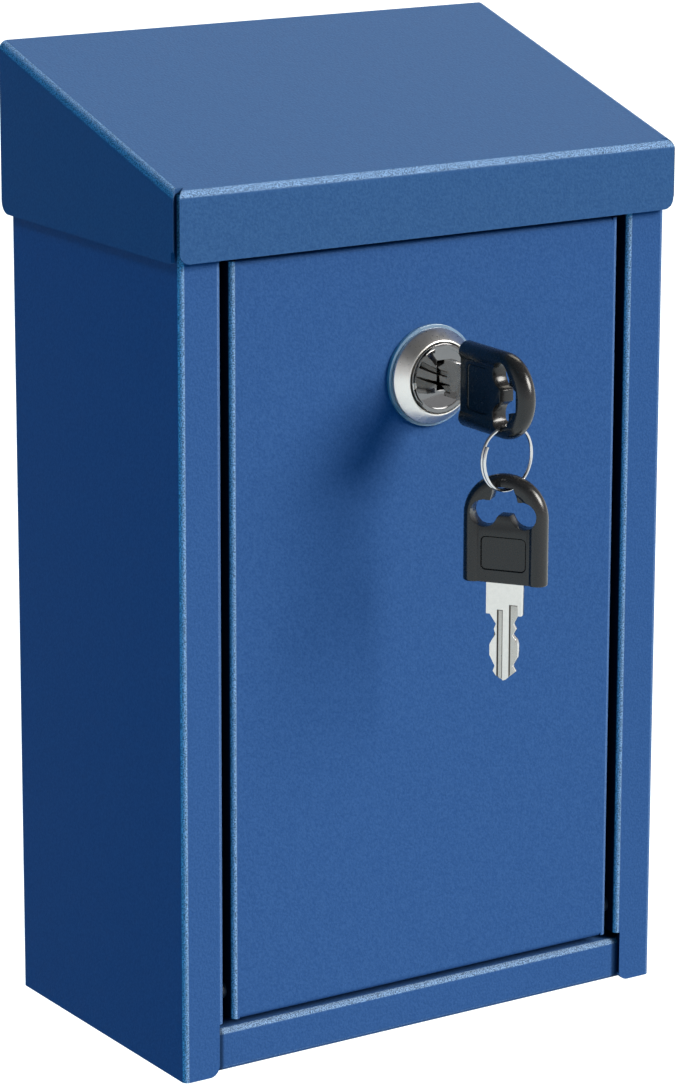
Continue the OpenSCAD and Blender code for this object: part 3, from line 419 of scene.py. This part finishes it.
# %% Mix the powder coat
GRAIN_SCALE, SWELL_SCALE, SPARKLE_SCALE = 1900.0, 260.0, 3800.0
GRAIN_DEPTH, GRAIN_STRENGTH = 0.22 * MM, 0.34
SWELL_DEPTH, SWELL_STRENGTH = 0.4 * MM, 0.08
SPARKLE_DARK, SPARKLE_LOW, SPARKLE_HIGH = 0.30, 0.38, 0.62
# How much of the deep blue is left under painted shade
SHADE_DARK = 0.12
COAT_ROUGHNESS, COAT_VARIES, COAT_SHEEN = 0.46, 0.06, 0.015


def powder_coat(name, dark, light, edge, top_normal=(0.0, 0.0, 1.0), upright_only=False,
                gap_reach=None, seam=None):
    """Textured paint between two blues, with the colour `edge` on its folds as a painted highlight,
    and painted shade in the gaps and along the seam where these are given.
    """
    material, nodes, links = new_material(name)
    shader = nodes["Principled BSDF"]
    grain = object_noise(nodes, links, GRAIN_SCALE, 2.0)
    swell = object_noise(nodes, links, SWELL_SCALE, 1.0)
    skin = ramp(nodes, links, grain, dark, light)
    # The sparkle is the painted highlight of the folds, in grains from dim to full
    fine = object_noise(nodes, links, SPARKLE_SCALE, 1.0)
    dim_highlight = tuple(SPARKLE_DARK * part for part in edge)
    sparkle = ramp(nodes, links, fine, dim_highlight, edge, SPARKLE_LOW, SPARKLE_HIGH)
    folds = fold_highlight_mask(nodes, links, top_normal, upright_only)
    colour = blend(nodes, links, folds, skin, sparkle)
    # Painted shade: the walls deep in the gaps and the seam beside the rail get a much darker blue
    shades = []
    if gap_reach is not None:
        shades.append(gap_shade_mask(nodes, links, gap_reach))
    if seam is not None:
        shades.append(seam_shade_mask(nodes, links, seam))
    for shade in shades:
        colour = blend(nodes, links, shade, colour, (*(SHADE_DARK * part for part in dark), 1.0))
    links.new(colour, shader.inputs["Base Color"])
    roughness = varied(nodes, links, grain, COAT_ROUGHNESS, COAT_VARIES)
    links.new(roughness, shader.inputs["Roughness"])
    low = bump(nodes, links, swell, SWELL_DEPTH, SWELL_STRENGTH)
    links.new(bump(nodes, links, grain, GRAIN_DEPTH, GRAIN_STRENGTH, low), shader.inputs["Normal"])
    shader.inputs["Specular IOR Level"].default_value = COAT_SHEEN
    return material


# %% [markdown]
# ## Four coats
#
# Every sheet is sprayed with the same paint, but each is folded in its own way, so each gets the
# masks that suit it. The lid is a touch greyer, a painted sheen for the light that its top
# catches. The door's top fold lies in the lid's shadow, so only the door's upright folds get the
# painted highlight.

# %% Four coats of the same paint
DEEP, BRIGHT = (0.026, 0.070, 0.186), (0.038, 0.092, 0.222)
# The lid's copy of the paint is a touch greyer: painted sheen
LID_SHEEN_DEEP, LID_SHEEN_BRIGHT = (0.028, 0.072, 0.170), (0.040, 0.095, 0.203)
# Painted highlights for the folds: full on the box and the door, dimmer on the pan and the lid
FOLD_HIGHLIGHT, DIM_FOLD_HIGHLIGHT = (0.34, 0.48, 0.70), (0.22, 0.33, 0.51)
LID_RISE, LID_RUN = 24.0 * MM, 77.4 * MM
lid_slope = math.atan2(LID_RISE, LID_RUN)
lid_normal = (0.0, -math.sin(lid_slope), math.cos(lid_slope))
DOOR_GAP, FLANGE_FOLD = 2.4 * MM, 1.5 * MM
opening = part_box("door_panel")[1].x + DOOR_GAP  # half the width between the flanges
# Painted shade: the box's coat on the flange walls beside the door, the door's coat on its own side
# walls
blue_coat = powder_coat("blue_powder_coat", DEEP, BRIGHT, FOLD_HIGHLIGHT, gap_reach=opening + FLANGE_FOLD)
# The pan's coat gets painted shade along its seam with the flanges
pan_coat = powder_coat("pan_powder_coat", DEEP, BRIGHT, DIM_FOLD_HIGHLIGHT, seam=opening)
lid_coat = powder_coat("lid_powder_coat", LID_SHEEN_DEEP, LID_SHEEN_BRIGHT, DIM_FOLD_HIGHLIGHT, lid_normal)
door_coat = powder_coat("door_powder_coat", DEEP, BRIGHT, FOLD_HIGHLIGHT, upright_only=True,
                        gap_reach=opening)
print("mixed:", blue_coat.name, pan_coat.name, lid_coat.name, door_coat.name)

# %% [markdown]
# ## Metals of the lock and the keys
#
# The lock's shell is zinc casting under satin chrome, a softly blurred grey mirror. The plug's
# face is polished, and the key blades are nickel plated, with duller floors in their milled
# grooves and edges darkened there by painted shade. The ring is bright spring steel, zinc plated
# steel is a cooler grey with cloudy patches, and the wafers are cut brass. Each metal gets its
# colour, a roughness that varies a little, and a bump far too fine to see as a shape.

# %% Mix the metals
METAL_STRENGTH = 0.3


def metal(name, colour, spread, roughness, rough_spread, scale, depth):
    """A metal whose colour and roughness vary in patches of 1 / `scale` metres."""
    material, nodes, links = new_material(name)
    shader = nodes["Principled BSDF"]
    shader.inputs["Metallic"].default_value = 1.0
    cloud = object_noise(nodes, links, scale, 3.0)
    links.new(tinted(nodes, links, cloud, colour, spread), shader.inputs["Base Color"])
    links.new(varied(nodes, links, cloud, roughness, rough_spread), shader.inputs["Roughness"])
    links.new(bump(nodes, links, cloud, depth, METAL_STRENGTH), shader.inputs["Normal"])
    return material


satin_chrome = metal("satin_chrome", (0.61, 0.60, 0.585), 0.03, 0.30, 0.03, 2600.0, 0.008 * MM)
# The plug's face: a metal far darker than plating, a painted reflection of dark surroundings
painted_dark_mirror = metal("painted_dark_mirror", (0.17, 0.17, 0.175), 0.03, 0.07, 0.02, 900.0, 0.01 * MM)
# The walls and slopes of the milled grooves: painted shade
groove_shade_nickel = metal("milled_groove_shade", (0.11, 0.10, 0.09), 0.15, 0.42, 0.06, 2400.0, 0.03 * MM)
nickel = metal("nickel_plate", (0.54, 0.53, 0.515), 0.04, 0.18, 0.05, 1200.0, 0.03 * MM)
spring_steel = metal("spring_steel", (0.52, 0.52, 0.53), 0.04, 0.16, 0.04, 1500.0, 0.02 * MM)
groove_floor = metal("groove_floor", (0.36, 0.355, 0.34), 0.06, 0.24, 0.05, 1800.0, 0.03 * MM)
zinc_plate = metal("zinc_plate", (0.56, 0.58, 0.61), 0.10, 0.34, 0.07, 420.0, 0.05 * MM)
cut_brass = metal("cut_brass", (0.78, 0.56, 0.22), 0.08, 0.28, 0.06, 800.0, 0.04 * MM)
metals = (satin_chrome, painted_dark_mirror, groove_shade_nickel, nickel, spring_steel, groove_floor,
          zinc_plate, cut_brass)
print("metals:", ", ".join(m.name for m in metals))

# %% [markdown]
# ## Plastics
#
# The key heads are moulded in black plastic whose mould was lightly blasted, so they shine softly.
# The spacers are dark nylon, and the ring under the lock's shell is a thin clear gasket with a
# cold bluish cast, through which the paint shows.

# %% Mix the plastics
SKIN_VARIES, SKIN_STRENGTH = 0.05, 0.2


def plastic(name, colour, roughness, scale, depth, spread=0.15, others=()):
    """A plastic with a fine skin. `others` are pairs of a shader socket's name and its value."""
    material, nodes, links = new_material(name)
    shader = nodes["Principled BSDF"]
    grain = object_noise(nodes, links, scale, 2.0)
    links.new(tinted(nodes, links, grain, colour, spread), shader.inputs["Base Color"])
    links.new(varied(nodes, links, grain, roughness, SKIN_VARIES), shader.inputs["Roughness"])
    links.new(bump(nodes, links, grain, depth, SKIN_STRENGTH), shader.inputs["Normal"])
    for socket, value in others:
        shader.inputs[socket].default_value = value
    return material


black_moulding = plastic("black_moulding", (0.0122, 0.0102, 0.0096), 0.24, 2200.0, 0.015 * MM,
                         others=[("Specular IOR Level", 0.385)])
dark_nylon = plastic("dark_nylon", (0.012, 0.018, 0.034), 0.42, 900.0, 0.03 * MM)
clear_gasket = plastic("clear_gasket", (0.30, 0.44, 0.60), 0.22, 700.0, 0.02 * MM, 0.05,
                       others=[("Transmission Weight", 0.55), ("IOR", 1.48)])
print("plastics:", black_moulding.name, dark_nylon.name, clear_gasket.name)

# %% [markdown]
# ## Eased edges
#
# No moulded, cast or stamped part has a perfectly sharp edge, and the thin line of light along a
# rounded edge is what makes a small part look solid. The next two cells take the exact surface of
# a part, weld the seams between its faces, clear the lines that lie inside flat faces, and roll a
# narrow bevel along every sharp edge. The rounded copy then stands in for the part.

# %% Helpers for edges
WELD_REACH, FLAT_ANGLE, SHARP_ANGLE = 0.004 * MM, math.radians(0.6), math.radians(32)


def start_piece(name, mesh):
    """A new object with this mesh, alone in the selection."""
    piece = bpy.data.objects.new(name, mesh)
    scene.collection.objects.link(piece)
    clear_selection()
    piece.select_set(True)
    bpy.context.view_layer.objects.active = piece
    return piece


def weld():
    """Join the loose faces of the selected copy and clear the lines inside its flat faces."""
    bpy.ops.object.mode_set(mode="EDIT")
    bpy.ops.mesh.select_all(action="SELECT")
    bpy.ops.mesh.customdata_custom_splitnormals_clear()
    bpy.ops.mesh.remove_doubles(threshold=WELD_REACH)
    bpy.ops.mesh.dissolve_limited(angle_limit=FLAT_ANGLE)
    bpy.ops.mesh.normals_make_consistent(inside=False)
    bpy.ops.mesh.select_all(action="DESELECT")
    bpy.ops.object.mode_set(mode="OBJECT")


def round_edges(piece, width, segments=2, keep_sharp=None):
    """Bevel the sharp edges, apart from those whose two ends `keep_sharp` says yes to."""
    bpy.ops.object.mode_set(mode="EDIT")
    bpy.ops.mesh.select_mode(type="EDGE")
    bpy.ops.mesh.edges_select_sharp(sharpness=SHARP_ANGLE)
    bpy.ops.object.mode_set(mode="OBJECT")
    weights = piece.data.attributes.new("bevel_weight_edge", "FLOAT", "EDGE")
    points = piece.data.vertices
    for edge in piece.data.edges:
        kept = keep_sharp is not None and all(keep_sharp(points[v].co) for v in edge.vertices)
        weights.data[edge.index].value = float(edge.select and not kept)
    ease = piece.modifiers.new("ease", "BEVEL")
    ease.width, ease.segments = width, segments
    ease.limit_method = "WEIGHT"
    ease.use_clamp_overlap = False
    bpy.ops.object.modifier_apply(modifier=ease.name)
    bpy.ops.object.shade_smooth_by_angle(angle=SHARP_ANGLE)


def finish_piece(piece, body, slot, *finishes):
    """Give a piece its materials and its body. `slot`, its material slot in the record, is not
    used.
    """
    piece.data.materials.clear()
    for finish in finishes:
        piece.data.materials.append(finish)
    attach(piece, body)


# %% Round the edges of the small parts
def eased(name, body, slot, finish, width, segments=2):
    """A copy of a part with its edges rounded by `width`, which takes the part's place."""
    piece = start_piece("eased_" + name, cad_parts[name].data.copy())
    weld()
    round_edges(piece, width, segments)
    finish_piece(piece, body, slot, finish)
    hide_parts(name)
    return piece


small_parts = [
    eased("lock_housing", "door", "chrome", satin_chrome, 0.22 * MM, 3),
    eased("lock_gasket", "door", "clear_plastic", clear_gasket, 0.20 * MM),
    eased("lock_nut", "door", "zinc_steel", zinc_plate, 0.30 * MM),
    eased("lock_stop_washer", "plug", "zinc_steel", zinc_plate, 0.12 * MM),
    eased("lock_cam", "plug", "zinc_steel", zinc_plate, 0.25 * MM),
    eased("cam_screw", "plug", "zinc_steel", zinc_plate, 0.18 * MM),
    eased("hinge_rivet_left", "box", "zinc_steel", zinc_plate, 0.15 * MM),
    eased("hinge_rivet_right", "box", "zinc_steel", zinc_plate, 0.15 * MM),
]
for piece in small_parts:
    print("eased:", piece.name, "faces:", len(piece.data.polygons))

# %% [markdown]
# ## The key heads
#
# Both heads are the same moulding. Its foot is rounded more than the rest, so the edges there are
# picked by their place and bevelled first. A fine groove is then sunk round the floor of each
# panel. The edges of the panel and the crease beside the bead stay crisp, and the other sharp
# edges get a narrow bevel.

# %% Find the two keys
# A key's own millimetres start at the middle of its head's foot: u goes across the key, v along it
# towards the ring and w through its thickness.
def place_of(head, across, along):
    """The foot of a key's head, and the directions across and along the key."""
    low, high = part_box(head)
    half_length = Vector((b - a) / 2 * part for a, b, part in zip(low, high, along))
    return (low + high) / 2 - half_length, across, along


def local(point, key):
    """A point in the key's own millimetres: u, v and w."""
    foot, across, along = key
    offset = point - foot
    return offset.dot(across) / MM, offset.dot(along) / MM, offset.dot(across.cross(along)) / MM


spare_turn = math.radians(53.6)
spare_across = Vector((math.cos(spare_turn), -math.sin(spare_turn), 0))
lock_key = place_of("key_head", Vector((0, 0, 1)), Vector((0, -1, 0)))
spare_key = place_of("spare_key_head", spare_across, Vector((0, 0, 1)))
for key in (lock_key, spare_key):
    print("foot of a head in mm:", [round(part / MM, 2) for part in key[0]])

# %% Mould the key heads
FOOT_ROUND, FOOT_WIDE, FOOT_THICK = 0.45 * MM, 4.3, 1.2
PANEL_HALF, PANEL_LOW, PANEL_HIGH, PANEL_FLOOR = 5.3, 2.8, 10.7, 1.55
GROOVE_WIDE, GROOVE_DEEP = 0.13 * MM, 0.16 * MM
FACE_HALF, ARCH_MIDDLE, CREASE = 1.8, 14.9, 5.968
CRISP_LOW, CRISP_HIGH = PANEL_FLOOR - 0.25, FACE_HALF + 0.05  # from under the groove to the face
MIDDLE_U, MIDDLE_V = 1.0, 1.75  # how near its middle the centre of a panel's floor lies
NEAR, FLOOR_NEAR, CREASE_NEAR = 0.02, 0.05, 0.03  # how far off a face or an edge may lie
HEAD_EDGE = 0.09 * MM


def key_head(name, body, key):
    """The moulded head of one key."""
    piece = start_piece("moulded_" + name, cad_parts[name].data.copy())
    weld()
    foot = 0
    for edge in piece.data.edges:
        ends = [local(piece.data.vertices[v].co, key) for v in edge.vertices]
        edge.select = all(abs(v) < NEAR and (abs(u) > FOOT_WIDE or abs(w) > FOOT_THICK)
                          for u, v, w in ends)
        foot += edge.select
    bpy.ops.object.mode_set(mode="EDIT")
    bpy.ops.mesh.bevel(offset=FOOT_ROUND, segments=3, affect="EDGES")
    bpy.ops.mesh.select_all(action="DESELECT")
    bpy.ops.object.mode_set(mode="OBJECT")

    # A narrow groove runs round the floor of each sunk panel
    panels = 0
    for face in piece.data.polygons:
        u, v, w = local(face.center, key)
        in_middle = abs(u) < MIDDLE_U and abs(v - (PANEL_LOW + PANEL_HIGH) / 2) < MIDDLE_V
        face.select = in_middle and abs(abs(w) - PANEL_FLOOR) < FLOOR_NEAR
        panels += face.select
    bpy.ops.object.mode_set(mode="EDIT")
    bpy.ops.mesh.select_mode(type="FACE")
    bpy.ops.mesh.inset(thickness=GROOVE_WIDE, depth=-GROOVE_DEEP)
    bpy.ops.mesh.inset(thickness=GROOVE_WIDE, depth=GROOVE_DEEP)
    bpy.ops.mesh.select_all(action="DESELECT")
    bpy.ops.object.mode_set(mode="OBJECT")

    def kept_crisp(point):
        u, v, w = local(point, key)
        in_panel = (abs(u) < PANEL_HALF and PANEL_LOW < v < PANEL_HIGH
                    and CRISP_LOW < abs(w) < CRISP_HIGH)
        from_middle = abs(u) if v < ARCH_MIDDLE else math.hypot(u, v - ARCH_MIDDLE)
        at_face = abs(abs(w) - FACE_HALF) < NEAR
        return in_panel or (at_face and abs(from_middle - CREASE) < CREASE_NEAR)

    round_edges(piece, HEAD_EDGE, keep_sharp=kept_crisp)
    finish_piece(piece, body, "key_plastic", black_moulding)
    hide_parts(name)
    print(piece.name, "foot edges:", foot, "panels:", panels, "faces:", len(piece.data.polygons))
    return piece


key_head("key_head", "key", lock_key)
key_head("spare_key_head", "spare_key", spare_key)

# %% [markdown]
# ## The blades
#
# A blade is stamped from nickel-plated sheet and then milled. The cutter leaves a small slope at
# the edge of each groove's floor, made here by insetting the floor. The floors are duller than the
# plated faces, and the walls and slopes are dark with painted shade.

# %% Mill the blades
WEB_HALF, BLADE_HALF, BLADE_START = 0.55, 0.95, -2.0
SLOPE_WIDE, SLOPE_HIGH, SLOPE_REACH = 0.26 * MM, 0.08 * MM, 0.27
GROOVE_WALLS = (1.3, -0.2, -1.5)
LONG_TOP, SHORT_TOP, TOP_REACH = -4.8, -6.1, 0.28
BLADE_EDGE = 0.07 * MM
# The slopes and walls take the painted shade, the floors the duller plating
SHADED_SLOPE, DULL_FLOOR = 1, 2  # places in the list of finishes


def key_blade(name, body, key):
    """The blade of one key, with the finishes of its two milled grooves."""
    piece = start_piece("milled_" + name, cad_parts[name].data.copy())
    weld()
    finish_piece(piece, body, "bright_steel", nickel, groove_shade_nickel, groove_floor)
    for face in piece.data.polygons:
        u, v, w = local(face.center, key)
        face.select = abs(abs(w) - WEB_HALF) < NEAR and v < BLADE_START
    bpy.ops.object.mode_set(mode="EDIT")
    bpy.ops.mesh.select_mode(type="FACE")
    bpy.ops.mesh.inset(thickness=SLOPE_WIDE, depth=SLOPE_HIGH)
    bpy.ops.mesh.select_all(action="DESELECT")
    bpy.ops.object.mode_set(mode="OBJECT")
    milled = 0
    for face in piece.data.polygons:
        u, v, w = local(face.center, key)
        side = u if w > 0 else -u
        top = LONG_TOP if side > 0.0 else SHORT_TOP
        at_wall = any(abs(side - wall) < SLOPE_REACH for wall in GROOVE_WALLS)
        at_top = abs(v - top) < TOP_REACH
        if WEB_HALF - FLOOR_NEAR < abs(w) < BLADE_HALF and v < BLADE_START:
            face.material_index = SHADED_SLOPE if at_wall or at_top else DULL_FLOOR
            milled += 1
    round_edges(piece, BLADE_EDGE)
    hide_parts(name)
    print(piece.name, "milled faces:", milled)
    return piece


key_blade("key_blade", "key", lock_key)
key_blade("spare_key_blade", "spare_key", spare_key)

# %% [markdown]
# ## The plug
#
# The plug's face sits in a shallow dish. The rim round it is satin chrome like the shell, and the
# face itself is a darker mirror, so the face and the mouth of the keyway get their own finish. The
# face's dark colour is a painted reflection of the dark key head and room that it mirrors.

# %% Polish the plug
MIRROR_DEPTH, MIRROR_RADIUS = 5.85 * MM, 6.8 * MM
PLUG_EDGE = 0.10 * MM
plug_low, plug_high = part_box("lock_plug")
lock_height = (plug_low.z + plug_high.z) / 2
plug = start_piece("polished_lock_plug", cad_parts["lock_plug"].data.copy())
weld()
finish_piece(plug, "plug", "chrome", satin_chrome, painted_dark_mirror)
# The faces in the dish get the darker mirror, a painted reflection
for face in plug.data.polygons:
    reach = math.hypot(face.center.x, face.center.z - lock_height)
    depth = face.center.y - plug_low.y
    face.material_index = int(depth < MIRROR_DEPTH and reach < MIRROR_RADIUS)
round_edges(plug, PLUG_EDGE)
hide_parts("lock_plug")
print(plug.name, "faces:", len(plug.data.polygons))

# %% [markdown]
# ## The split ring
#
# The ring is spring wire wound about one turn and two fifths, so it lies double over part of its
# round. Its path is a row of points: a circle that steps sideways by about one wire where it passes
# from the first turn to the second. A round section follows that path, and the ends are cut flat.

# %% Wind the split ring
RING_MIDDLE = Vector((0.0, -108.2, 36.7293)) * MM
RING_RADIUS, WIRE_RADIUS, WIRE_STEP = 7.25 * MM, 0.37 * MM, 0.8 * MM
RING_LEAN = math.radians(10)
FIRST_END, WOUND = 152.0, 500.0  # degrees
CROSSING, CROSSING_LENGTH = 300.0, 55.0
WIRE_POINTS, WIRE_SMOOTH = 200, math.radians(40)


def ring_point(angle):
    """A point of the wire's path: `angle` degrees along the wire from its first end."""
    t = min(max((angle - CROSSING) / CROSSING_LENGTH, 0.0), 1.0)
    side = WIRE_STEP * (t * t * (3 - 2 * t) - 0.5)
    turn = math.radians(FIRST_END + angle)
    flat = Vector((RING_RADIUS * math.cos(turn), side, RING_RADIUS * math.sin(turn)))
    return Matrix.Rotation(RING_LEAN, 3, "Z") @ flat + RING_MIDDLE


path_data = bpy.data.curves.new("wire_path", "CURVE")
path_data.dimensions = "3D"
path_data.bevel_depth = WIRE_RADIUS
path_data.bevel_resolution = 6
path_data.use_fill_caps = True
wire = path_data.splines.new("POLY")
wire.points.add(WIRE_POINTS)
for i in range(WIRE_POINTS + 1):
    wire.points[i].co = (*ring_point(WOUND * i / WIRE_POINTS), 1.0)
path = bpy.data.objects.new("wire_path", path_data)
scene.collection.objects.link(path)
clear_selection()
path.select_set(True)
bpy.context.view_layer.objects.active = path
bpy.ops.object.convert(target="MESH")
ring = bpy.context.object
ring.name = "wound_split_ring"
bpy.ops.object.shade_smooth_by_angle(angle=WIRE_SMOOTH)
finish_piece(ring, "ring", "bright_steel", spring_steel)
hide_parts("split_ring")
print(ring.name, "faces:", len(ring.data.polygons))

# %% [markdown]
# ## Dress the parts that keep their solid
#
# A part whose solid already has the right shape stays as it is, and only its material slots are
# filled. The table below gives the parts of each finish, so no part is left bare.

# %% Hand out the finishes
FINISHES = {
    pan_coat: ["bottom_pan"],
    blue_coat: ["body_shell", "slot_plate", "catch_plate", "lid_ear_left", "lid_ear_right"],
    door_coat: ["door_panel"],
    lid_coat: ["lid_cover"],
    zinc_plate: ["lid_hinge_rod", "lock_tooth_washer"],
    cut_brass: ["lock_wafers"],
    dark_nylon: ["hinge_spacer_left", "hinge_spacer_right"],
}
for finish, names in FINISHES.items():
    for name in names:
        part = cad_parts[name]
        if not part.material_slots:
            part.data.materials.append(finish)
        for slot in part.material_slots:
            slot.material = finish
print("dressed:", sum(len(names) for names in FINISHES.values()), "parts")
